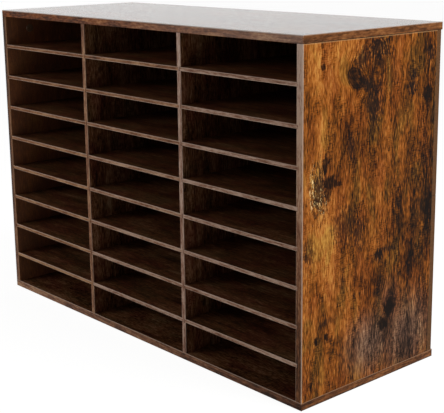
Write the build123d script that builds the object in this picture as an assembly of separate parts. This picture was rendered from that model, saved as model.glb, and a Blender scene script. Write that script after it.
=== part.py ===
from build123d import *
from math import cos, pi
import os

# Literature organizer: an open-fronted case of flat-pack boards, with loose shelves in grooves.
# Millimetres. Origin at the middle of the underside, +X to the right, +Y to the rear, +Z up.

# Overall size
overall_width = 787.0
overall_depth = 305.0
overall_height = 543.0

# Boards and their edge bands
board = 12.0                # top, bottom and sides
divider = 9.0               # uprights between the columns
back_board = 9.0
rear_overhang = 3.0         # top and bottom reach this far behind the back boards
back_seam = 0.6             # gap between the two back boards
band = 1.0                  # strip glued on the board edges that show
band_arris = 0.5            # bevel on the band's outer edges

# Shelves and the grooves that hold them
shelves_per_column = 8
shelf_thickness = 6.0
shelf_nose = 1.0            # bevel on the shelf's front edges
shelf_front_recess = 0.5    # shelf front behind the case front
shelf_rear_clearance = 0.5
shelf_end_clearance = 0.5
groove_depth = 3.0
groove_clearance = 0.3      # groove height less shelf thickness

# Places and fits shared by the fasteners
fastener_flats = 10         # sides of the round fasteners and of their bores
fastener_inset = 50.0       # from an upright's front and rear edges to its outer fasteners
bore_clearance = 0.1        # on the radius of each fastener
seat_clearance = 0.1        # along the axis, where faces don't bear on each other

# Dowels between the uprights and the top and bottom panels
dowel_diameter = 5.0
dowel_in_upright = 16.5
dowel_in_panel = 8.0
dowel_chamfer = 0.8
blind_room = 0.5            # hole past the end of a dowel or bolt

# Cam fittings between the sides and the top panel
cam_setback = 24.0          # cam axis below the side's top end
cam_diameter = 12.0
cam_skin = 1.5              # board left behind the cam's bore
cam_rim = 1.4               # wall around the cam's cavity
cam_draw = 0.5              # cavity off centre, so that turning the cam pulls the bolt home
cam_slot_length = 8.0
cam_slot_width = 1.2
cam_slot_depth = 0.9
cap_thickness = 1.2
bolt_head_diameter = 5.8
bolt_neck_diameter = 4.0
bolt_collar_diameter = 6.8
bolt_collar_height = 3.0
bolt_thread_diameter = 5.0
bolt_thread_length = 9.0

# Screws up through the bottom panel into the uprights
bottom_screw_diameter = 4.0
bottom_screw_length = 40.0
bottom_screw_head = 7.5
bottom_screw_sink = 0.4     # head below the panel's face
bottom_screw_socket = 2.5   # hexagon across its flats
bottom_screw_socket_depth = 1.6

# Screws through the back boards into the uprights
back_screw_diameter = 3.5
back_screw_length = 30.0
back_screw_head = 7.0
back_screw_sink = 0.2

# All screws
screw_tip = 4.0             # length of the tapered tip
screw_point = 0.4           # radius left at its end

# Names, from left to right
column_names = ("left", "middle", "right")
upright_names = ("left_side", "left_divider", "right_divider", "right_side")
upright_thickness = (board, divider, divider, board)
columns = len(column_names)
uprights = range(len(upright_names))
sides = (0, columns)
dividers = range(1, columns)

# Outer faces, and the faces that the boards meet at
left_end = -overall_width / 2
right_end = overall_width / 2
front = -overall_depth / 2
rear = overall_depth / 2
board_front = front + band
back_outer = rear - rear_overhang
back_inner = back_outer - back_board
upright_low = board
upright_high = overall_height - board
upright_middle_height = (upright_low + upright_high) / 2

# Compartments
rows = shelves_per_column + 1
clear_width = (overall_width - sum(upright_thickness)) / columns
clear_height = (upright_high - upright_low - shelves_per_column * shelf_thickness) / rows
row_pitch = clear_height + shelf_thickness

# Cam fitting: the bolt's axis is in the middle of the side's thickness
cam_bore_depth = board - cam_skin
cam_front = board / 2 - cap_thickness - seat_clearance
cam_back = board / 2 - cam_bore_depth + seat_clearance
cam_cavity_radius = cam_diameter / 2 - cam_rim
cam_cavity_flat = cam_cavity_radius * cos(pi / fastener_flats)
bolt_head_room = bolt_head_diameter / 2 + bore_clearance
bolt_neck_room = bolt_neck_diameter / 2 + bore_clearance
bolt_head_reach = ((cam_cavity_flat - bolt_head_room) ** 2 - cam_draw**2) ** 0.5


def upright_left(index):
    return left_end + sum(upright_thickness[:index]) + index * clear_width


def upright_right(index):
    return upright_left(index) + upright_thickness[index]


def upright_middle(index):
    return (upright_left(index) + upright_right(index)) / 2


def shelf_underside(index):
    return upright_low + clear_height + index * row_pitch


def row_middle(index):
    return upright_low + clear_height / 2 + index * row_pitch


# Basic forms

def block(x_span, y_span, z_span):
    low, high = zip(x_span, y_span, z_span)
    size = [b - a for a, b in zip(low, high)]
    return Pos(*low) * Box(*size, align=(Align.MIN, Align.MIN, Align.MIN))


def turned(outline):
    # About Z, through points of radius and height from the lowest up; a step has two points at one height
    rings = [Pos(0, 0, height) * RegularPolygon(radius, fastener_flats) for radius, height in outline]
    heights = [height for radius, height in outline]
    spans = [i for i in range(len(outline) - 1) if heights[i + 1] > heights[i]]
    return Part() + [loft(rings[i:i + 2], ruled=True) for i in spans]


def rod(radius, low, high):
    return turned([(radius, low), (radius, high)])


def bevelled(solid, face_axis, edge_axes, length):
    # Bevels the lowest face along face_axis, on its edges that run along edge_axes
    face_edges = solid.faces().sort_by(face_axis)[0].edges()
    chosen = [edge for axis in edge_axes for edge in face_edges.filter_by(axis)]
    return chamfer(chosen, length)


# Fasteners and the holes they sit in

def dowel(low, high):
    radius = dowel_diameter / 2
    tip = radius - dowel_chamfer
    return turned([(tip, low), (radius, low + dowel_chamfer), (radius, high - dowel_chamfer), (tip, high)])


def dowel_hole(low, high):
    return rod(dowel_diameter / 2 + bore_clearance, low - blind_room, high + blind_room)


def cam_bolt():
    # Screwed up into the top panel at the origin, with its head hanging down in the cam
    head = bolt_head_diameter / 2
    neck = bolt_neck_diameter / 2
    collar = bolt_collar_diameter / 2
    thread = bolt_thread_diameter / 2
    head_middle = bolt_head_reach - cam_setback
    slope = head - neck
    return turned([
        (neck, head_middle - neck), (head, head_middle), (neck, head_middle + slope),
        (neck, -bolt_collar_height), (collar, -bolt_collar_height), (collar, 0),
        (thread, 0), (thread, bolt_thread_length),
    ])


def cam_bolt_hole():
    passage = rod(bolt_collar_diameter / 2 + bore_clearance, -cam_setback, 0)
    thread = rod(bolt_thread_diameter / 2 + bore_clearance, 0, bolt_thread_length + blind_room)
    return passage + thread


def cam_lock():
    # Turns about Z, with its face at +Z; the bolt comes in along X
    beyond = cam_diameter
    body = rod(cam_diameter / 2, cam_back, cam_front)
    cavity = Pos(0, cam_draw, 0) * rod(cam_cavity_radius, cam_back - beyond, bolt_head_room)
    throat = block((0, beyond), (-beyond, beyond), (-bolt_neck_room, bolt_neck_room))
    entry = Rot(-90, 0, 0) * rod(bolt_head_room, 0, beyond)
    slot = Pos(0, 0, cam_front) * Box(cam_slot_length, cam_slot_width, 2 * cam_slot_depth)
    return body - cavity - throat - entry - slot


def cam_cap():
    return rod(cam_diameter / 2, cam_front + seat_clearance, board / 2)


def cam_hole():
    return rod(cam_diameter / 2 + bore_clearance, cam_back - seat_clearance, board / 2)


def screw(diameter, length, head_diameter, sink):
    # Countersunk, driven along +Z, with the board's face at the origin
    radius = diameter / 2
    head = head_diameter / 2
    end = sink + length
    return turned([(head, sink), (radius, sink + head - radius), (radius, end - screw_tip), (screw_point, end)])


def bottom_screw():
    hexagon = RegularPolygon(bottom_screw_socket / 2, 6, major_radius=False)
    socket = Pos(0, 0, bottom_screw_sink) * extrude(hexagon, bottom_screw_socket_depth)
    return screw(*bottom_screw_size) - socket


def screw_hole(diameter, length, head_diameter, sink):
    radius = diameter / 2 + bore_clearance
    head = head_diameter / 2 + bore_clearance
    end = sink + length + seat_clearance
    return turned([(head, 0), (head, sink), (radius, sink + head - radius), (radius, end)])


# Where the fasteners go: at the top, each side has two cams and a dowel, and each divider three dowels.
# Every upright has two screws and a dowel at the bottom, and two screws through each back board.

fastener_rows = (board_front + fastener_inset, back_inner - fastener_inset)
middle_row = (sum(fastener_rows) / 2,)
rows_below_seam = rows // 2
back_screw_rows = (0, rows_below_seam - 1, rows - rows_below_seam, rows - 1)


def upright_places(indexes, depths, height):
    return [Pos(upright_middle(i), depth, height) for i in indexes for depth in depths]


def cam_place(index, depth):
    # Each side is bored from its inner face
    outward = (1, 0, 0) if index == 0 else (-1, 0, 0)
    centre = (upright_middle(index), depth, upright_high - cam_setback)
    return Plane(centre, x_dir=(0, 0, 1), z_dir=outward).location


def back_screw_place(index, row):
    return Plane((upright_middle(index), back_outer, row_middle(row)), x_dir=(1, 0, 0), z_dir=(0, -1, 0)).location


bolt_places = upright_places(sides, fastener_rows, upright_high)
cam_places = [cam_place(i, depth) for i in sides for depth in fastener_rows]
top_dowel_places = (upright_places(uprights, middle_row, upright_high)
                    + upright_places(dividers, fastener_rows, upright_high))
bottom_dowel_places = upright_places(uprights, middle_row, upright_low)
bottom_screw_places = upright_places(uprights, fastener_rows, 0)
back_screw_places = [back_screw_place(i, row) for i in uprights for row in back_screw_rows]

bottom_screw_size = (bottom_screw_diameter, bottom_screw_length, bottom_screw_head, bottom_screw_sink)
back_screw_size = (back_screw_diameter, back_screw_length, back_screw_head, back_screw_sink)
top_dowel_ends = (-dowel_in_upright, dowel_in_panel)
bottom_dowel_ends = (-dowel_in_panel, dowel_in_upright)


def copies(places, solid):
    return [place * solid for place in places]


holes = (
    copies(bolt_places, cam_bolt_hole())
    + copies(cam_places, cam_hole())
    + copies(top_dowel_places, dowel_hole(*top_dowel_ends))
    + copies(bottom_dowel_places, dowel_hole(*bottom_dowel_ends))
    + copies(bottom_screw_places, screw_hole(*bottom_screw_size))
    + copies(back_screw_places, screw_hole(*back_screw_size))
)


# Boards

def grooves(index):
    # Shelf grooves of one upright, on each face that has a column beside it, open at the front and rear
    left_face = upright_left(index)
    right_face = upright_right(index)
    spans = []
    if index > 0:
        spans.append((left_face, left_face + groove_depth))
    if index < columns:
        spans.append((right_face - groove_depth, right_face))
    heights = [shelf_underside(i) for i in range(shelves_per_column)]
    groove_height = shelf_thickness + groove_clearance
    return [
        block(span, (front, back_inner), (height, height + groove_height))
        for span in spans for height in heights
    ]


def upright(index):
    span = (upright_left(index), upright_right(index))
    return block(span, (board_front, back_inner), (upright_low, upright_high)) - grooves(index) - holes


def upright_band(index):
    span = (upright_left(index), upright_right(index))
    strip = block(span, (front, board_front), (upright_low, upright_high))
    return bevelled(strip, Axis.Y, [Axis.Z], band_arris) - grooves(index)


def panel(height):
    return block((left_end + band, right_end - band), (board_front, rear), (height, height + board)) - holes


def panel_front_band(height):
    strip = block((left_end, right_end), (front, board_front), (height, height + board))
    return bevelled(strip, Axis.Y, [Axis.X, Axis.Z], band_arris)


def panel_left_band(height):
    strip = block((left_end, left_end + band), (board_front, rear), (height, height + board))
    return bevelled(strip, Axis.X, [Axis.Y], band_arris)


def panel_right_band(height):
    return mirror(panel_left_band(height), Plane.YZ)


def back(low, high):
    return block((left_end, right_end), (back_inner, back_outer), (low, high)) - holes


def shelf(column, index):
    low = shelf_underside(index)
    end = upright_right(column) - groove_depth + shelf_end_clearance
    length = clear_width + 2 * (groove_depth - shelf_end_clearance)
    depths = (front + shelf_front_recess, back_inner - shelf_rear_clearance)
    plain = block((end, end + length), depths, (low, low + shelf_thickness))
    return bevelled(plain, Axis.Y, [Axis.X], shelf_nose)


# All pieces by name

pieces = {
    "lower_back_board": back(upright_low, upright_middle_height - back_seam / 2),
    "upper_back_board": back(upright_middle_height + back_seam / 2, upright_high),
    "cam_bolts": copies(bolt_places, cam_bolt()),
    "cam_locks": copies(cam_places, cam_lock()),
    "cam_caps": copies(cam_places, cam_cap()),
    "dowels": copies(top_dowel_places, dowel(*top_dowel_ends))
    + copies(bottom_dowel_places, dowel(*bottom_dowel_ends)),
    "bottom_screws": copies(bottom_screw_places, bottom_screw()),
    "back_screws": copies(back_screw_places, screw(*back_screw_size)),
}

for name, height in (("bottom", 0), ("top", upright_high)):
    pieces[f"{name}_panel"] = panel(height)
    pieces[f"{name}_front_band"] = panel_front_band(height)
    pieces[f"{name}_left_band"] = panel_left_band(height)
    pieces[f"{name}_right_band"] = panel_right_band(height)

for index, name in enumerate(upright_names):
    pieces[name] = upright(index)
    pieces[f"{name}_band"] = upright_band(index)

for column, name in enumerate(column_names):
    for index in range(shelves_per_column):
        pieces[f"{name}_shelf_{index + 1}"] = shelf(column, index)

os.makedirs("parts", exist_ok=True)
for name, piece in pieces.items():
    shape = Compound(children=piece) if isinstance(piece, list) else piece
    export_step(shape, f"parts/{name}.step")
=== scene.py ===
# Literature organizer: finishes, fittings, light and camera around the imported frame. Metres, Z up.
import math

import bmesh
import bpy
from mathutils import Matrix, Quaternion, Vector


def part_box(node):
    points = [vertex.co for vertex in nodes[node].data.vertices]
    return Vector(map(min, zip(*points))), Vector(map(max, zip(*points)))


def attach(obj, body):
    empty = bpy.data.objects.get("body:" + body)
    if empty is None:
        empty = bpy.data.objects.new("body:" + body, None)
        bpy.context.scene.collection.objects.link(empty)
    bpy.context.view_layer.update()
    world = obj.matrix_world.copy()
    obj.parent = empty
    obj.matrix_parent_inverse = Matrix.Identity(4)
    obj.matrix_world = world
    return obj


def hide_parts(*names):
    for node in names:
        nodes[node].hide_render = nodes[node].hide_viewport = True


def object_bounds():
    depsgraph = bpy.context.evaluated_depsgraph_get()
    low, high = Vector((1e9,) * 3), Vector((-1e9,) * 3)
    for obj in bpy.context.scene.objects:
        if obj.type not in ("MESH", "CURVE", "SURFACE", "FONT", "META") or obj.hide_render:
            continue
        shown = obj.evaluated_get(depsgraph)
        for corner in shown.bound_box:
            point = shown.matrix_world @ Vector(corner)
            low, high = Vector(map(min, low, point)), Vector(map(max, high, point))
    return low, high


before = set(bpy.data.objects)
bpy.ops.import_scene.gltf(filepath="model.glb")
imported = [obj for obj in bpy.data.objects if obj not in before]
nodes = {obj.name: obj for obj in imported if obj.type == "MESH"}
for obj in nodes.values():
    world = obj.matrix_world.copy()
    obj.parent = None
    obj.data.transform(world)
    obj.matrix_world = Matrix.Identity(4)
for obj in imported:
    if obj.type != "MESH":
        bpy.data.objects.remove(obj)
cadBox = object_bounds()
mm = 0.001

# Sockets go by number where that is short. Map Range: 0 is the value, 1 and 2 its range, 3 and 4 the
# range it is brought to. Colour mix: 0 is the share, 6 and 7 are the colours.
smooth = {"interpolation_type": "SMOOTHSTEP"}
colourMix = {"out": 2, "data_type": "RGBA"}


def linear(hexColour):  # sRGB hex to the linear colour that shaders want
    channels = [int(hexColour[i:i + 2], 16) / 255 for i in (1, 3, 5)]
    return [c / 12.92 if c <= 0.04045 else ((c + 0.055) / 1.055) ** 2.4 for c in channels] + [1.0]


def addNode(tree, kind, feeds=None, out=0, stops=(), **settings):  # one node, set and linked
    node = tree.nodes.new(kind)
    for name, value in settings.items():
        setattr(node, name, value)
    for socket, value in (feeds or {}).items():
        if isinstance(value, bpy.types.NodeSocket):
            tree.links.new(value, node.inputs[socket])
        else:
            node.inputs[socket].default_value = value
    for place, (position, colour) in enumerate(stops):
        ramp = node.color_ramp.elements
        element = ramp[place] if place < 2 else ramp.new(position)  # a new ramp has two stops
        element.position = position
        element.color = linear(colour)
    return node.outputs[out] if node.outputs else node


def newMaterial(name):
    material = bpy.data.materials.new(name)
    material.use_nodes = True
    material.node_tree.nodes.clear()
    return material, material.node_tree


def dress(node, material):  # a carried-over node takes one material
    mesh = nodes[node].data
    mesh.materials.clear()
    mesh.materials.append(material)


def placeAlong(tree, axis):  # place on the piece along X, Y or Z
    place = addNode(tree, "ShaderNodeTexCoord", out="Object")
    return addNode(tree, "ShaderNodeSeparateXYZ", {0: place}, out=axis)


noiseSpan = (0.3, 0.7)  # nearly all of a noise lies between these


def finishSurface(tree, colour, pattern, relief, gloss):
    # The pattern varies the roughness by the gloss's spread, and the relief is pressed into the surface.
    rough = gloss["rough"]
    if "spread" in gloss:
        sleek, dull = [rough + change for change in gloss["spread"]]
        rough = addNode(tree, "ShaderNodeMapRange",
                        {0: pattern, 1: noiseSpan[0], 2: noiseSpan[1], 3: sleek, 4: dull}, **smooth)
    bump = addNode(tree, "ShaderNodeBump",
                   {"Strength": gloss["emboss"], "Distance": gloss["embossDepth"] * mm, "Height": relief})
    shader = addNode(tree, "ShaderNodeBsdfPrincipled",
                     {"Base Color": colour, "Roughness": rough, "Normal": bump, **gloss["shader"]})
    addNode(tree, "ShaderNodeOutputMaterial", {"Surface": shader})


# Wood print. Each pattern's size is in mm: across the grain, along it, and through the board.
# A pattern with a band counts only where its noise is high: none below the band, full above it.
grainAxes = {"X": ("Y", "X", "Z"), "Y": ("Z", "Y", "X"), "Z": ("Y", "Z", "X")}
grainNoise = {"rough": 0.6, "seedWay": (1.0, 1.7, 2.3)}  # a seed moves the noise along its way

rusticGrain = {
    "planks": {"size": (34, 150, 25), "detail": 2, "gain": 0.95},
    "flame": {"size": (12, 110, 20), "detail": 4, "gain": 0.8},
    "streak": {"size": (3.5, 36, 12), "detail": 4, "gain": 0.85},
    "fibre": {"size": (1.7, 11, 6), "detail": 3, "gain": 1.6},  # real fibres are finer, drawn to show
}
rusticLayerSeed = 3.1  # from one layer of the grain to the next
rusticPalette = {
    "olive": [(0.0, "#150e09"), (0.2, "#311f0d"), (0.4, "#5e3a14"), (0.6, "#87531d"),
              (0.8, "#a86e2c"), (1.0, "#c08b3e")],
    "golden": [(0.0, "#160d08"), (0.2, "#331d0b"), (0.4, "#643711"), (0.6, "#915019"),
               (0.8, "#b26b2d"), (1.0, "#c88b42")],
    "red": [(0.0, "#150c08"), (0.2, "#301808"), (0.4, "#5b2f0e"), (0.6, "#844516"),
            (0.8, "#a05a26"), (1.0, "#ba783a")],
    # painted reflection: grey palette for the pale floor reflected low on the right side
    "reflection_grey": [(0.0, "#1a1310"), (0.25, "#3d2b21"), (0.5, "#6c5040"), (0.75, "#92725b"), (1.0, "#b99d86")],
}
shadedPalette = {  # painted shade: boards seen mainly inside the case get a duller, greyer copy of the print for the shade they stand in
    "olive": [(0.0, "#1b130d"), (0.3, "#412c1b"), (0.6, "#6f4d31"), (1.0, "#a38260")],
    "golden": [(0.0, "#1b120d"), (0.3, "#452b1a"), (0.6, "#764b2f"), (1.0, "#a98060")],
    "red": [(0.0, "#1a100c"), (0.3, "#402318"), (0.6, "#6d3d29"), (1.0, "#9c6d51")],
}
rusticPatch = {
    "mottle": {"size": (3.5, 5, 6), "detail": 4, "seed": 11},  # specks that break up a mark
    "hatch": {"size": (8, 2, 6), "detail": 3, "seed": 17, "band": (0.48, 0.6)},  # saw marks, drawn coarse
    "hatchPatch": {"size": (26, 60, 20), "detail": 2, "seed": 23, "band": (0.47, 0.6), "full": 0.18},
    "hues": {"size": (34, 80, 20), "detail": 2, "seed": 31},
    "pores": {"size": (1.2, 12, 5), "detail": 3, "seed": 41, "band": (0.56, 0.66)},  # drawn coarse to show
    "flakes": {"size": (2.4, 5, 4), "detail": 3, "seed": 53, "band": (0.57, 0.63)},  # chips of lost paint
}
hueBands = {"olive": (0.46, 0.36), "red": (0.5, 0.62)}  # hue noise from golden to the other palette
poreTint = {"colour": "#1f120a", "share": 0.4}

# A mark's hard and soft are reaches from its middle, in shares of its size, and fray breaks up its outline.
# A lift makes the print lighter or darker and a hue, the painted reflection of the pale floor, recolours it
# greyer; both keep its grain. A tint covers it.
# Rings are the shares of the tint on the pale and the dark growth rings.
markKinds = {
    "glow": {"lift": 0.32, "hard": 0.1, "soft": 1.25, "fray": 0.5},
    "dusk": {"lift": -0.35, "hard": 0.1, "soft": 1.25, "fray": 0.7},
    "floor_reflection": {"hue": "reflection_grey", "hard": 0.1, "soft": 1.2, "fray": 0.4},
    "smudge": {"tint": "#1f1612", "hard": 0.3, "soft": 1.15, "fray": 1.6},
    "burst": {"tint": "#1a1311", "hard": 0.5, "soft": 1.15, "fray": 2.6},
    "knot": {"tint": "#17100e", "hard": 0.9, "soft": 1.08, "fray": 0.15, "rings": (0.72, 0.94)},
    "eye": {"tint": "#1b1210", "hard": 0.9, "soft": 1.1, "fray": 0.2, "rings": (0.1, 0.7)},
    "spot": {"tint": "#170e09", "hard": 0.7, "soft": 1.05, "fray": 0.9},
    "flake": {"tint": "#f2cf8e", "hard": 0.3, "soft": 1.2, "fray": 1.2},
}
markForm = {
    "depth": 50,               # mm through the board, so that a mark is on both its faces
    "wander": 4,               # mm that an outline strays either way
    "wanderSize": 14,          # mm from one stray to the next
    "fibre": (0.45, 0.7),      # fibre noise from which a tint lets the grain through, and lets most through
    "cover": (1.0, 0.82),      # share of the tint at those two
}
knotForm = {
    "bendReach": 2.6,          # knot sizes from its middle where the fibres run straight again
    "bend": 0.8,               # half widths that fibres are pushed aside
    "ringWaves": 12.0,         # radians of ring wave from the middle to the outline
    "bark": (0.72, 0.9),       # reach over which the rings turn into the dark bark line
}


def grainSpace(tree, along):  # place on the piece as (across, along, through) the grain
    place = addNode(tree, "ShaderNodeTexCoord", out="Object")
    split = addNode(tree, "ShaderNodeSeparateXYZ", {0: place}).node
    across, length, through = [split.outputs[axis] for axis in grainAxes[along]]
    return addNode(tree, "ShaderNodeCombineXYZ", {0: across, 1: length, 2: through})


def grainLayer(tree, grain, layer, seed):  # noise stretched along the grain
    moved = [seed * step for step in grainNoise["seedWay"]]
    scale = [1 / (size * mm) for size in layer["size"]]
    stretched = addNode(tree, "ShaderNodeMapping", {"Vector": grain, "Location": moved, "Scale": scale})
    return addNode(tree, "ShaderNodeTexNoise",
                   {"Vector": stretched, "Scale": 1.0, "Detail": layer["detail"],
                    "Roughness": grainNoise["rough"]})


def grainPatch(tree, grain, layer, seed):  # the layer's noise, cut to its band
    noise = grainLayer(tree, grain, layer, seed + layer["seed"])
    low, high = layer["band"]
    return addNode(tree, "ShaderNodeMapRange",
                   {0: noise, 1: low, 2: high, 3: 0.0, 4: layer.get("full", 1.0)}, **smooth)


def placeMark(tree, grain, mark, origin):  # place in the mark's own frame, and reach: 1 at its outline
    across, length, halfWidth, halfLength, tilt = mark[:5]
    centre = (origin[0] + across * mm, origin[1] + length * mm, origin[2])
    halves = (halfWidth * mm, halfLength * mm, markForm["depth"] * mm)
    local = addNode(tree, "ShaderNodeMapping",
                    {"Vector": grain, "Location": centre, "Rotation": (0, 0, math.radians(tilt)),
                     "Scale": halves}, vector_type="TEXTURE")
    return local, addNode(tree, "ShaderNodeVectorMath", {0: local}, out="Value", operation="LENGTH")


def bendRoundKnots(tree, grain, knots, origin):  # fibres part and run round each knot
    for mark in knots:
        local, reach = placeMark(tree, grain, mark, origin)
        most = knotForm["bend"] * mark[2] * mm
        push = addNode(tree, "ShaderNodeMapRange",
                       {0: reach, 1: 0.0, 2: knotForm["bendReach"], 3: -most, 4: 0.0}, **smooth)
        side = addNode(tree, "ShaderNodeVectorMath", {0: local, 1: (1, 0, 0)}, operation="MULTIPLY")
        shift = addNode(tree, "ShaderNodeVectorMath", {0: side, "Scale": push}, operation="SCALE")
        grain = addNode(tree, "ShaderNodeVectorMath", {0: grain, 1: shift}, operation="ADD")
    return grain


def ringShare(tree, reach, rings):  # growth rings inside a dark bark line
    wave = addNode(tree, "ShaderNodeMath", {0: reach, 1: knotForm["ringWaves"]}, operation="MULTIPLY")
    ring = addNode(tree, "ShaderNodeMath", {0: wave}, operation="SINE")
    pale, dark = rings
    ring = addNode(tree, "ShaderNodeMapRange", {0: ring, 1: -1.0, 2: 1.0, 3: pale, 4: dark}, **smooth)
    low, high = knotForm["bark"]
    bark = addNode(tree, "ShaderNodeMapRange", {0: reach, 1: low, 2: high, 3: 0.0, 4: 1.0}, **smooth)
    return addNode(tree, "ShaderNodeMath", {0: ring, 1: bark}, operation="MAXIMUM")


def markShare(tree, place, mottle, kind, marks, origin):  # how far the marks of one kind cover the board
    share = None
    low, high = [kind[edge] + kind["fray"] for edge in ("hard", "soft")]
    for mark in marks:
        reach = placeMark(tree, place, mark, origin)[1]
        frayed = addNode(tree, "ShaderNodeMath", {0: mottle, 1: kind["fray"], 2: reach},
                         operation="MULTIPLY_ADD")
        shade = addNode(tree, "ShaderNodeMapRange",
                        {0: frayed, 1: low, 2: high, 3: mark[-1], 4: 0.0}, **smooth)
        if "rings" in kind:
            ring = ringShare(tree, reach, kind["rings"])
            shade = addNode(tree, "ShaderNodeMath", {0: shade, 1: ring}, operation="MULTIPLY")
        share = shade if share is None else addNode(
            tree, "ShaderNodeMath", {0: share, 1: shade}, operation="MAXIMUM")
    return share


def rusticPrint(tree, look, origin=(0, 0, 0)):
    # Returns the colour, and the fibre and pore patterns that the gloss and the emboss follow.
    marks = look.get("marks", {})
    palette = look.get("palette", rusticPalette)
    contrast = look.get("contrast", 1.0)
    seed = look["seed"]
    straight = grainSpace(tree, look["along"])
    grain = bendRoundKnots(tree, straight, [*marks.get("knot", ()), *marks.get("eye", ())], origin)

    # light and dark of the grain
    level = look["tone"] - contrast * sum(layer["gain"] for layer in rusticGrain.values()) / 2
    for place, layer in enumerate(rusticGrain.values()):
        fibre = grainLayer(tree, grain, layer, seed + rusticLayerSeed * place)  # the last is the fibre
        level = addNode(tree, "ShaderNodeMath", {0: fibre, 1: contrast * layer["gain"], 2: level},
                        operation="MULTIPLY_ADD")
    if "rear_shade" in look:  # painted shade: the print is darker towards the rear
        rearward = addNode(tree, "ShaderNodeSeparateXYZ", {0: straight})
        level = addNode(tree, "ShaderNodeMath", {0: rearward, 1: -look["rear_shade"], 2: level},
                        operation="MULTIPLY_ADD")

    # marks, with outlines that wander
    wander = addNode(tree, "ShaderNodeTexNoise",
                     {"Vector": straight, "Scale": 1 / (markForm["wanderSize"] * mm), "Detail": 2},
                     out="Color")
    wander = addNode(tree, "ShaderNodeVectorMath", {0: wander, 1: (0.5, 0.5, 0.5)}, operation="SUBTRACT")
    wander = addNode(tree, "ShaderNodeVectorMath",
                     {0: wander, 1: [2 * markForm["wander"] * mm] * 3, 2: straight},
                     operation="MULTIPLY_ADD")
    mottle = grainLayer(tree, straight, rusticPatch["mottle"], seed + rusticPatch["mottle"]["seed"])
    mottle = addNode(tree, "ShaderNodeMath", {0: mottle, 1: fibre}, operation="ADD")
    shares = {name: markShare(tree, wander, mottle, kind, marks[name], origin)
              for name, kind in markKinds.items() if name in marks}
    for name in [n for n in shares if "lift" in markKinds[n]]:
        level = addNode(tree, "ShaderNodeMath", {0: shares[name], 1: markKinds[name]["lift"], 2: level},
                        operation="MULTIPLY_ADD")

    # patches with saw marks across the grain
    hatch = grainPatch(tree, grain, rusticPatch["hatch"], seed)
    hatched = grainPatch(tree, straight, rusticPatch["hatchPatch"], seed)
    scraped = addNode(tree, "ShaderNodeMath", {0: hatch, 1: hatched}, operation="MULTIPLY")
    level = addNode(tree, "ShaderNodeMath", {0: level, 1: scraped}, operation="SUBTRACT")

    # three palettes, olive, golden and red, in patches
    hues = grainLayer(tree, grain, rusticPatch["hues"], seed + rusticPatch["hues"]["seed"])
    colour = addNode(tree, "ShaderNodeValToRGB", {0: level}, stops=palette["golden"])
    for hue, (start, end) in hueBands.items():
        other = addNode(tree, "ShaderNodeValToRGB", {0: level}, stops=palette[hue])
        share = addNode(tree, "ShaderNodeMapRange", {0: hues, 1: start, 2: end, 3: 0.0, 4: 1.0}, **smooth)
        colour = addNode(tree, "ShaderNodeMix", {0: share, 6: colour, 7: other}, **colourMix)
    for name in [n for n in shares if "hue" in markKinds[n]]:
        other = addNode(tree, "ShaderNodeValToRGB", {0: level}, stops=palette[markKinds[name]["hue"]])
        colour = addNode(tree, "ShaderNodeMix", {0: shares[name], 6: colour, 7: other}, **colourMix)

    # tints over the print, with a little grain showing through
    if "flake" in shares:
        chips = grainPatch(tree, straight, rusticPatch["flakes"], seed)
        shares["flake"] = addNode(tree, "ShaderNodeMath", {0: shares["flake"], 1: chips},
                                  operation="MULTIPLY")
    (low, high), (most, least) = markForm["fibre"], markForm["cover"]
    through = addNode(tree, "ShaderNodeMapRange", {0: fibre, 1: low, 2: high, 3: most, 4: least}, **smooth)
    for name in [n for n in shares if "tint" in markKinds[n]]:
        tint = linear(markKinds[name]["tint"])
        cover = addNode(tree, "ShaderNodeMath", {0: shares[name], 1: through}, operation="MULTIPLY")
        colour = addNode(tree, "ShaderNodeMix", {0: cover, 6: colour, 7: tint}, **colourMix)

    pores = grainPatch(tree, grain, rusticPatch["pores"], seed)
    dark = addNode(tree, "ShaderNodeMath", {0: pores, 1: poreTint["share"]}, operation="MULTIPLY")
    tint = linear(poreTint["colour"])
    colour = addNode(tree, "ShaderNodeMix", {0: dark, 6: colour, 7: tint}, **colourMix)
    return colour, fibre, pores


def pressResin(tree, colour, fibre, pores, gloss):  # fibres stand up and pores are sunk
    relief = addNode(tree, "ShaderNodeMath", {0: pores, 1: -1.0, 2: fibre}, operation="MULTIPLY_ADD")
    finishSurface(tree, colour, fibre, relief, gloss)


paperSkin = 0.15  # mm of printed paper and resin on a board's faces


def cutEdge(tree, colour, node, axis, core):  # raw core wherever the printed face is cut away
    low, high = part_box(node)
    middle = (low[axis] + high[axis]) / 2
    inside = (high[axis] - low[axis]) / 2 - paperSkin * mm
    offset = addNode(tree, "ShaderNodeMath", {0: placeAlong(tree, axis), 1: middle}, operation="SUBTRACT")
    offset = addNode(tree, "ShaderNodeMath", {0: offset}, operation="ABSOLUTE")
    cut = addNode(tree, "ShaderNodeMath", {0: offset, 1: inside}, operation="LESS_THAN")
    place = addNode(tree, "ShaderNodeTexCoord", out="Object")
    chip = addNode(tree, "ShaderNodeTexVoronoi", {"Vector": place, "Scale": 1 / (core["size"] * mm)},
                   out="Color")
    shade = addNode(tree, "ShaderNodeSeparateXYZ", {0: chip})
    raw = addNode(tree, "ShaderNodeValToRGB", {0: shade}, stops=core["tones"])
    return addNode(tree, "ShaderNodeMix", {0: cut, 6: colour, 7: raw}, **colourMix)


lineCore = 0.6  # share of a line's width that has its full tint


def edgeLine(tree, colour, node, line):  # thin line beside one face of the piece's box
    axis, end, width, tint, share = line
    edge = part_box(node)[end][axis]
    gap = addNode(tree, "ShaderNodeMath", {0: placeAlong(tree, axis), 1: edge}, operation="SUBTRACT")
    gap = addNode(tree, "ShaderNodeMath", {0: gap}, operation="ABSOLUTE")
    near = addNode(tree, "ShaderNodeMapRange",
                   {0: gap, 1: lineCore * width * mm, 2: width * mm, 3: share, 4: 0.0}, **smooth)
    return addNode(tree, "ShaderNodeMix", {0: near, 6: colour, 7: linear(tint)}, **colourMix)


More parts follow.
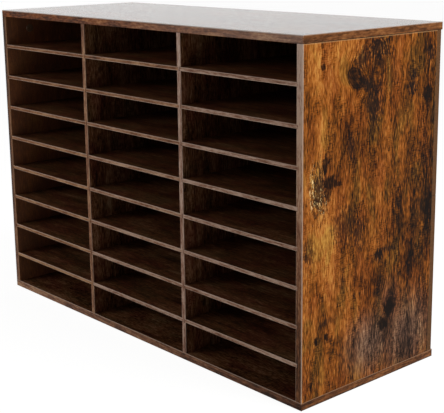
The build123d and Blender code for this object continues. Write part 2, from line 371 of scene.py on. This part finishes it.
# Case boards: particle board faced with melamine paper. The paper's print carries the wood, the
# resin gives a low satin sheen that whitens at a glancing view, and cut edges show pale chips.
chipCore = {"tones": [(0.0, "#8a6742"), (0.5, "#b08d60"), (1.0, "#cbaa7d")], "size": 3.2}
melamineGloss = {"rough": 0.15, "spread": (-0.04, 0.06), "emboss": 0.25, "embossDepth": 0.15,
                 "shader": {"IOR": 1.5, "Specular IOR Level": 0.03}}

# Marks: mm from the front, mm up from the floor (or from the left end), half width, half length, degrees of
# tilt, share. Lines: axis, low or high end, mm wide, tint, share. Rear shade: painted shade, tone lost in a
# metre to the rear.
caseBoards = {
    "right_side": {"along": "Z", "seed": 4.0, "tone": 0.5, "rear_shade": 0.55, "marks": {
        # partly painted light: on this side the glow marks gather at the front and the dusk marks at the
        # rear, lit from the right front and shaded to the rear, over the print's own patches
        "glow": [(92, 515, 50, 28, 0, 0.7), (62, 462, 34, 46, 0, 0.5), (40, 400, 28, 50, 0, 0.55),
                 (112, 432, 22, 26, 0, 0.5), (42, 240, 36, 76, 0, 0.9), (52, 185, 34, 40, 0, 0.55),
                 (28, 330, 26, 60, 0, 0.9), (80, 110, 46, 16, 0, 0.5), (205, 470, 16, 60, 0, 0.3),
                 (165, 330, 26, 30, 0, 0.2), (66, 306, 16, 20, 0, 0.7)],
        "dusk": [(284, 280, 34, 300, 0, 0.6), (252, 290, 34, 150, 0, 0.22), (235, 60, 70, 60, 0, 0.45),
                 (125, 375, 34, 40, 0, 0.4), (5, 230, 8, 120, 0, 0.35), (150, 160, 50, 50, 0, 0.42),
                 (14, 60, 16, 70, 0, 0.4), (215, 225, 40, 60, 0, 0.35), (190, 420, 34, 40, 0, 0.4),
                 (238, 480, 40, 80, 0, 0.15), (150, 478, 46, 50, 0, 0.3),
                 (150, 375, 44, 50, 0, 0.25), (150, 280, 44, 50, 0, 0.28), (245, 175, 45, 50, 0, 0.85)],
        # painted reflection: greyer print low and to the rear, where the side reflects the pale floor
        "floor_reflection": [(236, 60, 90, 80, 0, 0.9), (150, 66, 70, 60, 0, 0.95), (190, 130, 40, 40, 0, 0.35)],
        "smudge": [(148, 431, 22, 42, 4, 0.95), (122, 502, 28, 18, 30, 0.85), (132, 464, 22, 13, -30, 0.95),
                   (166, 202, 13, 13, 20, 0.95), (188, 208, 28, 6, -4, 0.8), (100, 377, 9, 24, 0, 0.85),
                   (193, 110, 18, 24, -10, 1.0), (180, 88, 16, 18, 20, 0.95), (181, 64, 7, 26, 0, 0.8),
                   (120, 78, 12, 24, 20, 0.4), (55, 124, 26, 7, 0, 0.5), (265, 96, 9, 40, 0, 0.6),
                   (84, 175, 8, 26, 0, 0.4), (260, 255, 10, 26, 0, 0.4), (210, 275, 12, 8, 0, 0.4)],
        "burst": [(158, 514, 32, 20, 0, 0.95), (168, 498, 26, 20, 0, 0.5), (238, 466, 13, 13, 0, 0.95),
                  (236, 450, 13, 12, 0, 0.95), (88, 262, 28, 34, 0, 0.6), (118, 245, 14, 34, 0, 0.7),
                  (12, 235, 14, 22, 0, 0.6), (34, 322, 20, 42, 0, 0.9), (185, 470, 20, 26, 0, 0.35),
                  (278, 497, 12, 18, 0, 0.8)],
        "knot": [(108, 475, 21, 15, -32, 1.0)],
        "eye": [(155, 476, 14, 30, 0, 0.95), (196, 122, 14, 14, 0, 0.6)],
        "spot": [(41, 497, 5, 6, 0, 0.8), (272, 437, 13, 14, 0, 0.95), (278, 508, 6, 6, 0, 0.8),
                 (46, 357, 7, 17, 0, 0.95), (29, 99, 5, 8, 0, 0.95), (51, 101, 4.5, 9, 0, 0.95),
                 (57, 331, 17, 12, -14, 0.95), (74, 327, 10, 5, 0, 0.85), (52, 315, 8, 14, 0, 0.8),
                 (193, 112, 14, 17, -10, 0.8), (180, 90, 16, 13, 20, 0.75), (166, 203, 10, 9, 20, 0.7)],
        "flake": [(20, 325, 8, 44, 0, 1.0), (38, 306, 9, 24, 0, 1.0)]},
        # painted highlights: pale lines along the top, rear and front edges where the arrises catch the
        # light
        "lines": [(2, 1, 1.6, "#c39a6b", 0.4), (1, 1, 1.4, "#a07c5a", 0.25), (1, 0, 1.2, "#b58b62", 0.3)]},
    "left_side": {"along": "Z", "seed": 11.0, "tone": 0.48, "marks": {
        "glow": [(60, 300, 40, 90, 0, 0.5), (150, 400, 40, 60, 0, 0.5)],
        "dusk": [(250, 200, 40, 160, 0, 0.5), (40, 80, 40, 60, 0, 0.5)],
        "smudge": [(92, 180, 12, 50, 0, 0.5), (226, 360, 14, 60, 0, 0.5), (180, 250, 24, 14, 10, 0.5)],
        "burst": [(140, 480, 26, 18, 0, 0.7)],
        "knot": [(92, 130, 15, 20, 12, 0.7), (205, 290, 10, 16, -8, 0.6)],
        "spot": [(220, 410, 8, 13, 0, 0.7), (60, 430, 4, 6, 0, 0.7)]},
        "lines": [(0, 1, 4.0, "#98674d", 0.6)]},  # so wide that it tints the whole inner face, grooves too
    "left_divider": {"along": "Z", "seed": 18.0, "tone": 0.58, "palette": shadedPalette, "marks": {
        "smudge": [(60, 300, 16, 60, 0, 0.4)],
        "spot": [(30, 450, 5, 9, 0, 0.6)]}},
    "right_divider": {"along": "Z", "seed": 25.0, "tone": 0.58, "palette": shadedPalette, "marks": {
        "smudge": [(90, 180, 18, 50, 0, 0.4)],
        "spot": [(40, 90, 5, 8, 0, 0.6)]}},
    "top_panel": {"along": "X", "seed": 32.0, "tone": 0.48, "rough": 0.1, "specular": 0.25, "marks": {
        "glow": [(80, 200, 50, 130, 0, 0.5), (220, 450, 40, 110, 0, 0.5)],
        "dusk": [(150, 680, 60, 90, 0, 0.5), (270, 150, 30, 120, 0, 0.5)],
        "smudge": [(205, 320, 14, 60, 0, 0.5), (120, 120, 22, 40, 0, 0.5), (60, 380, 16, 40, 6, 0.4)],
        "burst": [(230, 590, 18, 50, 0, 0.5)],
        "knot": [(205, 250, 13, 24, 8, 0.7), (70, 640, 10, 16, -10, 0.6)],
        "spot": [(90, 530, 7, 12, 0, 0.7)],
        "flake": [(160, 470, 9, 34, 0, 0.7)]}},
    "bottom_panel": {"along": "X", "seed": 39.0, "tone": 0.52, "contrast": 0.8, "palette": shadedPalette,
                     "marks": {"smudge": [(120, 300, 18, 50, 0, 0.5)],
                               "spot": [(200, 560, 6, 10, 0, 0.6)]}},
}
for name, board in caseBoards.items():
    material, tree = newMaterial("melamine_rustic_" + name)
    upright = board["along"] == "Z"
    corner = cadBox[0]
    middle = sum(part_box(name), Vector()) / 2
    origin = (corner.y, corner.z if upright else corner.x, middle.x if upright else middle.z)
    colour, fibre, pores = rusticPrint(tree, board, origin)
    for line in board.get("lines", ()):
        colour = edgeLine(tree, colour, name, line)
    colour = cutEdge(tree, colour, name, 0 if upright else 2, chipCore)
    gloss = {**melamineGloss, "rough": board.get("rough", melamineGloss["rough"])}
    if "specular" in board:
        gloss["shader"] = {**gloss["shader"], "Specular IOR Level": board["specular"]}
    pressResin(tree, colour, fibre, pores, gloss)
    dress(name, material)
print("case boards:", len(caseBoards))

# Back boards: thin fibreboard with the same paper, a little duller. Cut ends show the even brown core.
fibreCore = {"tones": [(0.0, "#523722"), (1.0, "#6b4a30")], "size": 1.2}
backBoards = {"nodes": ("upper_back_board", "lower_back_board"), "along": "X", "seed": 46.0, "tone": 0.42,
              "contrast": 0.6, "rough": 0.5}
material, tree = newMaterial("melamine_rustic_back")
colour, fibre, pores = rusticPrint(tree, backBoards)
colour = cutEdge(tree, colour, backBoards["nodes"][0], 1, fibreCore)
pressResin(tree, colour, fibre, pores, {**melamineGloss, "rough": backBoards["rough"]})
for name in backBoards["nodes"]:
    dress(name, material)
print("back boards:", len(backBoards["nodes"]))

# Edge bands: thin PVC strip printed with straight grain, smoother than the boards. Pale lines along the
# trimmed edges are painted highlights, and dark lines at the joints are painted shade.
bandTones = {
    # painted reflection: the grey palette paints the sheen seen on the front edges
    "sheen_grey": [(0.0, "#2e1b0e"), (0.35, "#664231"), (0.65, "#8e6753"), (1.0, "#b89a87")],
    "brown": [(0.0, "#2c190c"), (0.35, "#613b25"), (0.65, "#875a3e"), (1.0, "#af8663")],
    "warm": [(0.0, "#2a170b"), (0.35, "#5b3519"), (0.65, "#7f4e29"), (1.0, "#a5723f")],
    "rich": [(0.0, "#2a1305"), (0.35, "#5e2d09"), (0.65, "#84430d"), (1.0, "#aa6522")],
}
bandGloss = {"rough": 0.26, "spread": (-0.04, 0.06), "emboss": 0.15, "embossDepth": 0.1,
             "shader": {"IOR": 1.53, "Specular IOR Level": 0.06}}
bandGrain = [
    {"size": (9, 60, 9), "detail": 3, "gain": 1.2},
    {"size": (2.6, 28, 2.6), "detail": 3, "gain": 1.3},
    {"size": (3, 9, 3), "detail": 2, "gain": 0.9},
]
bandSeeds = {"first": 60.0, "band": 7.7, "layer": 5.3}  # steps from band to band and layer to layer
# painted highlight and painted shade for the thin lines along the bands' edges
paintedHighlightEdge = "#d2b8a4"
paintedShadeEdge = "#1d110a"
# Painted light: the tint and tone change along each band, greyer and lighter where it shows the sheen and
# darker where it is shaded.
edgeBands = {  # tint and tone at the low and high end, along the band
    "top_front_band": {"along": "X", "tint": ("rich", "brown"), "tone": (0.42, 0.66),
                       "lines": [(2, 1, 1.4, "#e6dbd0", 0.6), (2, 0, 1.0, paintedShadeEdge, 0.4)]},
    "bottom_front_band": {"along": "X", "tint": ("brown", "brown"), "tone": (0.74, 0.28),
                          "lines": [(2, 1, 1.3, paintedHighlightEdge, 0.5)]},
    "top_left_band": {"along": "Y", "tint": ("warm", "warm"), "tone": (0.5, 0.5),
                      "lines": [(2, 1, 1.2, paintedHighlightEdge, 0.5)]},
    "top_right_band": {"along": "Y", "tint": ("warm", "warm"), "tone": (0.5, 0.5),
                       "lines": [(2, 1, 1.2, paintedHighlightEdge, 0.45), (2, 0, 1.5, paintedShadeEdge, 0.8)]},
    "bottom_left_band": {"along": "Y", "tint": ("warm", "warm"), "tone": (0.4, 0.4),
                         "lines": [(2, 1, 1.2, paintedHighlightEdge, 0.4)]},
    "bottom_right_band": {"along": "Y", "tint": ("warm", "warm"), "tone": (0.3, 0.5),
                          "lines": [(2, 1, 1.4, "#a98668", 0.6), (2, 0, 2.5, paintedShadeEdge, 0.5)]},
    "left_side_band": {"along": "Z", "tint": ("brown", "warm"), "tone": (0.54, 0.22),
                       "lines": [(0, 1, 4.5, "#a0744e", 0.44), (0, 0, 4.5, paintedShadeEdge, 0.6)]},
    "left_divider_band": {"along": "Z", "tint": ("brown", "brown"), "tone": (0.68, 0.68),
                          "lines": [(0, 1, 1.0, paintedHighlightEdge, 0.3)]},
    "right_divider_band": {"along": "Z", "tint": ("sheen_grey", "sheen_grey"), "tone": (0.78, 0.8),
                           "lines": [(0, 1, 1.0, paintedHighlightEdge, 0.4)]},
    "right_side_band": {"along": "Z", "tint": ("warm", "sheen_grey"), "tone": (0.22, 1.2),
                        "lines": [(0, 1, 1.3, paintedHighlightEdge, 0.6), (0, 0, 1.2, paintedHighlightEdge, 0.45)]},
}


def bandPrint(tree, along, strip, reach, seed):  # reach is 0 at the strip's low end and 1 at its high end
    grain = grainSpace(tree, along)
    level = addNode(tree, "ShaderNodeMapRange", {0: reach, 3: strip["tone"][0], 4: strip["tone"][1]})
    for place, layer in enumerate(bandGrain):
        pattern = grainLayer(tree, grain, layer, seed + bandSeeds["layer"] * place)
        centred = addNode(tree, "ShaderNodeMath", {0: pattern, 1: 0.5}, operation="SUBTRACT")
        level = addNode(tree, "ShaderNodeMath", {0: centred, 1: layer["gain"], 2: level},
                        operation="MULTIPLY_ADD")
    low, high = [addNode(tree, "ShaderNodeValToRGB", {0: level}, stops=bandTones[tint])
                 for tint in strip["tint"]]
    return addNode(tree, "ShaderNodeMix", {0: reach, 6: low, 7: high}, **colourMix), pattern


for place, (name, strip) in enumerate(edgeBands.items()):
    material, tree = newMaterial("pvc_printed_" + name)
    axis = "XYZ".index(strip["along"])
    low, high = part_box(name)
    reach = addNode(tree, "ShaderNodeMapRange", {0: placeAlong(tree, axis), 1: low[axis], 2: high[axis]})
    seed = bandSeeds["first"] + bandSeeds["band"] * place
    colour, pattern = bandPrint(tree, strip["along"], strip, reach, seed)
    for line in strip["lines"]:
        colour = edgeLine(tree, colour, name, line)
    finishSurface(tree, colour, pattern, pattern, bandGloss)
    dress(name, material)
print("edge bands:", len(edgeBands))

# Shelves: thin fibreboard wrapped in printed foil, dull, with the grain along the width. The front edge is
# printed like the bands, with painted highlights on its two bevels, and the other edges show the brown
# core.
shelfFoil = {
    "along": "X", "seed": 75.0, "tone": 0.52, "contrast": 0.8, "palette": shadedPalette, "rough": 0.44,
    "frontDepth": 1.2,         # mm behind the front that counts as the front edge
    "frontSeed": 90.0,
    "bevel_highlight": 0.7,               # share of painted highlight on a bevel
    "bevel": (0.75, 0.95),     # largest part of the normal, on a bevel and on a face
    "face": 0.9,               # upright part of the normal on top and underside
}
# Painted light: the front edges are greyer with sheen in the middle and right columns, and their tone
# changes from the lowest shelf to the highest.
shelfColumns = {  # tint and tone of the front edge, on the lowest and the highest shelf
    "left": {"tint": ("brown", "brown"), "tone": (0.82, 0.56)},
    "middle": {"tint": ("sheen_grey", "brown"), "tone": (0.84, 0.66)},
    "right": {"tint": ("sheen_grey", "sheen_grey"), "tone": (0.76, 0.7)},
}
for column, front in shelfColumns.items():
    material, tree = newMaterial("foil_wrapped_fibreboard_" + column)
    faceColour, fibre, pores = rusticPrint(tree, shelfFoil)
    lowest, highest = [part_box(column + shelf) for shelf in ("_shelf_1", "_shelf_8")]

    # how far the surface leans, from its normal
    normal = addNode(tree, "ShaderNodeTexCoord", out="Normal")
    parts = addNode(tree, "ShaderNodeVectorMath", {0: normal}, operation="ABSOLUTE")
    parts = addNode(tree, "ShaderNodeSeparateXYZ", {0: parts}).node.outputs
    most = addNode(tree, "ShaderNodeMath", {0: parts[1], 1: parts[2]}, operation="MAXIMUM")
    most = addNode(tree, "ShaderNodeMath", {0: most, 1: parts[0]}, operation="MAXIMUM")
    leaning, level = shelfFoil["bevel"]
    bevel_highlight = addNode(tree, "ShaderNodeMapRange",
                   {0: most, 1: leaning, 2: level, 3: shelfFoil["bevel_highlight"], 4: 0.0}, **smooth)
    flat = addNode(tree, "ShaderNodeMath", {0: parts[2], 1: shelfFoil["face"]}, operation="GREATER_THAN")

    # front edge
    reach = addNode(tree, "ShaderNodeMapRange", {0: placeAlong(tree, 2), 1: lowest[0].z, 2: highest[1].z})
    frontColour = bandPrint(tree, "X", front, reach, shelfFoil["frontSeed"])[0]
    frontColour = addNode(tree, "ShaderNodeMix",
                          {0: bevel_highlight, 6: frontColour, 7: linear(paintedHighlightEdge)}, **colourMix)

    # other edges, and all of it together
    place = addNode(tree, "ShaderNodeTexCoord", out="Object")
    fluff = addNode(tree, "ShaderNodeTexNoise",
                    {"Vector": place, "Scale": 1 / (fibreCore["size"] * mm), "Detail": 3})
    coreColour = addNode(tree, "ShaderNodeValToRGB", {0: fluff}, stops=fibreCore["tones"])
    behindFront = lowest[0].y + shelfFoil["frontDepth"] * mm
    atFront = addNode(tree, "ShaderNodeMath", {0: placeAlong(tree, 1), 1: behindFront},
                      operation="LESS_THAN")
    edgeColour = addNode(tree, "ShaderNodeMix", {0: atFront, 6: coreColour, 7: frontColour}, **colourMix)
    colour = addNode(tree, "ShaderNodeMix", {0: flat, 6: edgeColour, 7: faceColour}, **colourMix)
    pressResin(tree, colour, fibre, pores, {**melamineGloss, "rough": shelfFoil["rough"]})
    shelves = [name for name in nodes if name.startswith(column + "_shelf_")]
    for name in shelves:
        dress(name, material)
    print(column, "shelves:", len(shelves))

# Fittings: zinc-plated steel is bright and even, die-cast zinc is duller with a fine grain, and moulded
# brown ABS is dull from the spark-eroded grain of its mould. The grain's size is in mm.
zincGloss = {"spread": (-0.06, 0.08), "emboss": 0.2, "embossDepth": 0.05, "shader": {"Metallic": 1.0}}
fittings = {
    "zinc_plated": {**zincGloss, "rough": 0.28, "grain": 1.5, "detail": 3,
                    "tones": [(0.35, "#b9b8b2"), (0.65, "#d3d2cc")]},
    "zinc_die_cast": {**zincGloss, "rough": 0.42, "grain": 0.7, "detail": 3,
                      "tones": [(0.35, "#9a9b9c"), (0.65, "#b6b7b8")]},
    "abs_moulded_brown": {"rough": 0.46, "emboss": 0.25, "embossDepth": 0.05, "shader": {"IOR": 1.52},
                          "grain": 0.5, "detail": 2, "tones": [(0.3, "#6a503b"), (0.7, "#7c6149")]},
}
fittingMaterials = {}
for name, look in fittings.items():
    fittingMaterials[name], tree = newMaterial(name)
    place = addNode(tree, "ShaderNodeTexCoord", out="Object")
    grit = addNode(tree, "ShaderNodeTexNoise",
                   {"Vector": place, "Scale": 1 / (look["grain"] * mm), "Detail": look["detail"]})
    colour = addNode(tree, "ShaderNodeValToRGB", {0: grit}, stops=look["tones"])
    finishSurface(tree, colour, grit, grit, look)
dress("cam_bolts", fittingMaterials["zinc_plated"])
dress("cam_locks", fittingMaterials["zinc_die_cast"])

# Dowels: turned beech, dull and pale with short dark flecks along the rod.
beech = {"tones": [(0.3, "#b98f62"), (0.7, "#d9b88c")], "fleck": {"size": (0.8, 6, 0.8), "detail": 2},
         "seed": 3.0, "rough": 0.6, "emboss": 0.3, "embossDepth": 0.1, "shader": {"IOR": 1.5}}
material, tree = newMaterial("beech_turned")
fleck = grainLayer(tree, grainSpace(tree, "Z"), beech["fleck"], beech["seed"])
colour = addNode(tree, "ShaderNodeValToRGB", {0: fleck}, stops=beech["tones"])
finishSurface(tree, colour, fleck, fleck, beech)
dress("dowels", material)
print("fittings dressed")

weldGap = 0.001  # mm
sharpAngle = 35  # degrees from which an edge stays sharp


def solidsOf(node):  # lowest and highest corner of each solid in a carried-over node
    shape = bmesh.new()
    shape.from_mesh(nodes[node].data)
    bmesh.ops.remove_doubles(shape, verts=shape.verts, dist=weldGap * mm)
    left, boxes = set(shape.verts), []
    while left:
        queue, points = [left.pop()], []
        while queue:
            vert = queue.pop()
            points.append(vert.co.copy())
            near = {edge.other_vert(vert) for edge in vert.link_edges} & left
            left -= near
            queue += near
        boxes.append([Vector([pick(p[axis] for p in points) for axis in range(3)]) for pick in (min, max)])
    shape.free()
    return sorted(boxes, key=lambda box: [round(value, 5) for value in box[0]])


def seatOn(box, axis, end, facing):  # place in the middle of one end of a solid's box, Z turned to facing
    seat = (box[0] + box[1]) / 2
    seat[axis] = box[end][axis]
    return Matrix.Translation(seat) @ Vector(facing).to_track_quat("Z", "Y").to_matrix().to_4x4()


def lathe(shape, outline, sides):  # rings of (radius, height) in mm, joined into a turned form
    turns = [2 * math.pi * k / sides for k in range(sides)]
    rings = [[shape.verts.new((r * mm * math.cos(t), r * mm * math.sin(t), h * mm)) for t in turns]
             for r, h in outline]
    for lower, upper in zip(rings, rings[1:]):
        for k in range(sides):
            shape.faces.new((lower[k - 1], lower[k], upper[k], upper[k - 1]))
    return rings


def recess(shape, rim, drive, depth, taper):  # driver recess sunk in a flat head, narrower at its floor
    top = [shape.verts.new((x * mm, y * mm, 0)) for x, y in drive]
    floor = [shape.verts.new((x * taper * mm, y * taper * mm, depth * mm)) for x, y in drive]
    loops = [[shape.edges.get((loop[k - 1], loop[k])) or shape.edges.new((loop[k - 1], loop[k]))
              for k in range(len(loop))] for loop in (rim, top)]
    bmesh.ops.triangle_fill(shape, use_beauty=True, edges=loops[0] + loops[1])
    for k in range(len(top)):
        shape.faces.new((top[k - 1], top[k], floor[k], floor[k - 1]))
    shape.faces.new(floor)


threadForm = {
    "steps": 16,               # to a turn
    "root": 0.9,               # of the core's radius, so that the ridge is rooted in it
    "flank": 0.3,              # of the pitch, from the crest to either foot
}


def thread(shape, core, crest, pitch, start, end):  # closed helical ridge that runs out at both ends
    steps = threadForm["steps"]
    root, flank = threadForm["root"] * core, threadForm["flank"] * pitch
    count = int((end - start) / pitch * steps)
    rows = []
    for k in range(count + 1):
        turn, height = 2 * math.pi * k / steps, start + pitch * k / steps
        ridge = core + (crest - core) * min(1, k / steps, (count - k) / steps)
        corners = [(root, -flank), (ridge, 0.0), (root, flank)]
        rows.append([shape.verts.new((r * mm * math.cos(turn), r * mm * math.sin(turn), (height + z) * mm))
                     for r, z in corners])
    for before, after in zip(rows, rows[1:]):
        for k in range(3):
            shape.faces.new((before[k - 1], after[k - 1], after[k], before[k]))
    shape.faces.new(rows[0])
    shape.faces.new(rows[-1])


def setPieces(name, shape, places, material, node):  # copies of one form, for a carried-over node
    bmesh.ops.recalc_face_normals(shape, faces=shape.faces)
    single = bpy.data.meshes.new(name + "_single")
    shape.to_mesh(single)
    shape.free()
    together = bmesh.new()
    for matrix in places:
        already = len(together.verts)
        together.from_mesh(single)
        together.verts.ensure_lookup_table()
        bmesh.ops.transform(together, matrix=matrix, verts=together.verts[already:])
    mesh = bpy.data.meshes.new(name)
    together.to_mesh(mesh)
    together.free()
    bpy.data.meshes.remove(single)
    mesh.shade_smooth()
    mesh.set_sharp_from_angle(angle=math.radians(sharpAngle))
    mesh.materials.append(material)
    piece = bpy.data.objects.new(name, mesh)
    bpy.context.scene.collection.objects.link(piece)
    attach(piece, "case")
    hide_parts(node)


# Screws, in mm: countersunk head with a driver recess, coarse thread on a thinner core, drawn to a point.
driveSize = {"crossArm": 2.1, "crossHalf": 0.45, "hexRadius": 1.44, "taper": 0.7}
arm, half = driveSize["crossArm"], driveSize["crossHalf"]
crossDrive = [(arm, -half), (arm, half), (half, half)]
for quarter in range(3):
    crossDrive += [(-y, x) for x, y in crossDrive[-3:]]
hexTurns = [math.radians(60 * k) for k in range(6)]
hexDrive = [(driveSize["hexRadius"] * math.cos(t), driveSize["hexRadius"] * math.sin(t)) for t in hexTurns]
screwForm = {"sides": 32, "rim": 0.15, "shoulder": 0.6, "threadStart": 1.2, "point": 4, "tip": 0.3}
screws = {  # head, core and crest are radii, axis and end say which end of the solid's box has the head
    "back_screws": {"head": 3.4, "core": 1.2, "crest": 1.72, "pitch": 1.6, "length": 30,
                    "drive": crossDrive, "driveDepth": 1.6, "axis": 1, "end": 1, "facing": (0, -1, 0)},
    "bottom_screws": {"head": 3.6, "core": 1.4, "crest": 1.95, "pitch": 1.9, "length": 40,
                      "drive": hexDrive, "driveDepth": 1.4, "axis": 2, "end": 0, "facing": (0, 0, 1)},
}
for name, screw in screws.items():
    head, core, crest, end = [screw[size] for size in ("head", "core", "crest", "length")]
    neck = head - crest
    threadEnd = end - screwForm["point"]
    shape = bmesh.new()
    outline = [(head, 0), (head, screwForm["rim"]), (crest, neck), (core, neck + screwForm["shoulder"]),
               (core, threadEnd), (screwForm["tip"], end)]
    rings = lathe(shape, outline, screwForm["sides"])
    shape.faces.new(rings[-1])
    recess(shape, rings[0], screw["drive"], screw["driveDepth"], driveSize["taper"])
    thread(shape, core, crest, screw["pitch"], neck + screwForm["threadStart"], threadEnd)
    places = [seatOn(box, screw["axis"], screw["end"], screw["facing"]) for box in solidsOf(name)]
    setPieces(name + "_turned", shape, places, fittingMaterials["zinc_plated"], name)
    print(name + ":", len(places))

# Cam caps, radius and height in mm: a plug in the bore, a thin round flange that hides the bore, slightly
# domed, with a dimple from the mould.
camCap = {
    "outline": [(5.2, -1.1), (5.6, -0.9), (5.6, 0.04), (7.5, 0.04), (7.5, 0.35), (7.2, 0.6), (5.0, 0.74),
                (1.6, 0.78), (1.2, 0.7), (0.3, 0.66)],
    "sides": 40,
}
shape = bmesh.new()
rings = lathe(shape, camCap["outline"], camCap["sides"])
shape.faces.new(rings[0])
shape.faces.new(rings[-1])
places = []
for box in solidsOf("cam_caps"):
    onRight = box[0].x > 0
    places.append(seatOn(box, 0, 0 if onRight else 1, (-1 if onRight else 1, 0, 0)))  # facing inward
setPieces("cam_caps_moulded", shape, places, fittingMaterials["abs_moulded_brown"], "cam_caps")
print("cam caps:", len(places))

# Stage: pale floor that is white to the eye and keeps the organizer's shadow, white surroundings.
stage = {"floor": "#f4f4f2", "floorSide": 16.0, "floorDrop": 0.4 * mm, "shadowShare": 0.2, "glow": 1.18,
         "skyLight": 0.15}


def seenByEye(tree):  # 1 on the ways to the eye: straight, mirrored or through something clear
    path = addNode(tree, "ShaderNodeLightPath").node.outputs
    seen = addNode(tree, "ShaderNodeMath", {0: path["Is Camera Ray"], 1: path["Is Glossy Ray"]},
                   operation="MAXIMUM")
    return addNode(tree, "ShaderNodeMath", {0: seen, 1: path["Is Transmission Ray"]}, operation="MAXIMUM")


halfSide = stage["floorSide"] / 2
floorMesh = bpy.data.meshes.new("floor")
floorMesh.from_pydata([(x * halfSide, y * halfSide, -stage["floorDrop"])
                       for x, y in ((-1, -1), (1, -1), (1, 1), (-1, 1))], [], [(0, 1, 2, 3)])
floor = bpy.data.objects.new("floor", floorMesh)
bpy.context.scene.collection.objects.link(floor)
material, tree = newMaterial("painted_floor")
whiten = addNode(tree, "ShaderNodeMath", {0: seenByEye(tree), 1: 1 - stage["shadowShare"]},
                 operation="MULTIPLY")
dull = addNode(tree, "ShaderNodeBsdfDiffuse", {"Color": linear(stage["floor"])})
glow = addNode(tree, "ShaderNodeEmission", {"Color": (1, 1, 1, 1), "Strength": stage["glow"]})
shader = addNode(tree, "ShaderNodeMixShader", {0: whiten, 1: dull, 2: glow})
below = addNode(tree, "ShaderNodeNewGeometry", out="Backfacing")  # clear from below, to show the underside
clear = addNode(tree, "ShaderNodeBsdfTransparent")
shader = addNode(tree, "ShaderNodeMixShader", {0: below, 1: shader, 2: clear})
addNode(tree, "ShaderNodeOutputMaterial", {"Surface": shader})
floorMesh.materials.append(material)

world = bpy.data.worlds.new("studio")
world.use_nodes = True
tree = world.node_tree
tree.nodes.clear()
strength = addNode(tree, "ShaderNodeMapRange",
                   {0: seenByEye(tree), 1: 0.0, 2: 1.0, 3: stage["skyLight"], 4: 1.0})
sky = addNode(tree, "ShaderNodeBackground", {"Color": (1, 1, 1, 1), "Strength": strength})
addNode(tree, "ShaderNodeOutputWorld", {"Surface": sky})
bpy.context.scene.world = world

# Lamps: a key from the right, a softer one from the front left that leaves the compartments dark.
lampAim = Vector((0, 0, 0.28))
lamps = {
    "key": {"place": (2.6, 0.75, 1.3), "side": 1.5, "watts": 55},
    "front": {"place": (-1.4, -2.1, 0.58), "side": 1.2, "watts": 22},
}
for name, lamp in lamps.items():
    light = bpy.data.lights.new(name, "AREA")
    light.shape = "SQUARE"
    light.size = lamp["side"]
    light.energy = lamp["watts"]
    holder = bpy.data.objects.new(name, light)
    holder.location = lamp["place"]
    holder.rotation_euler = (lampAim - holder.location).to_track_quat("-Z", "Y").to_euler()
    bpy.context.scene.collection.objects.link(holder)
print("stage:", len(lamps), "lamps")

# Camera: the photograph's place and angle. Its frame is 444 by 413.
cameraView = {
    "place": (1.3843, -1.1767, 0.6729),
    "azimuth": 48.506,      # degrees from straight ahead, towards the right
    "elevation": 12.483,    # degrees down
    "roll": 0.656,
    "lens": 85.76,          # mm
    "sensor": 36.0,         # mm
    "shift": -0.08,         # frames the object and keeps its uprights as upright as in the photograph
}
lens = bpy.data.cameras.new("camera")
lens.lens = cameraView["lens"]
lens.sensor_width = cameraView["sensor"]
lens.shift_y = cameraView["shift"]
camera = bpy.data.objects.new("camera", lens)
azimuth, elevation, roll = [math.radians(cameraView[k]) for k in ("azimuth", "elevation", "roll")]
looking = Vector((-math.sin(azimuth) * math.cos(elevation), math.cos(azimuth) * math.cos(elevation),
                  -math.sin(elevation)))
camera.location = cameraView["place"]
camera.rotation_euler = (looking.to_track_quat("-Z", "Y") @ Quaternion((0, 0, 1), -roll)).to_euler()
bpy.context.scene.collection.objects.link(camera)
bpy.context.scene.camera = camera
bpy.context.scene.view_settings.view_transform = "Standard"
print("camera set")
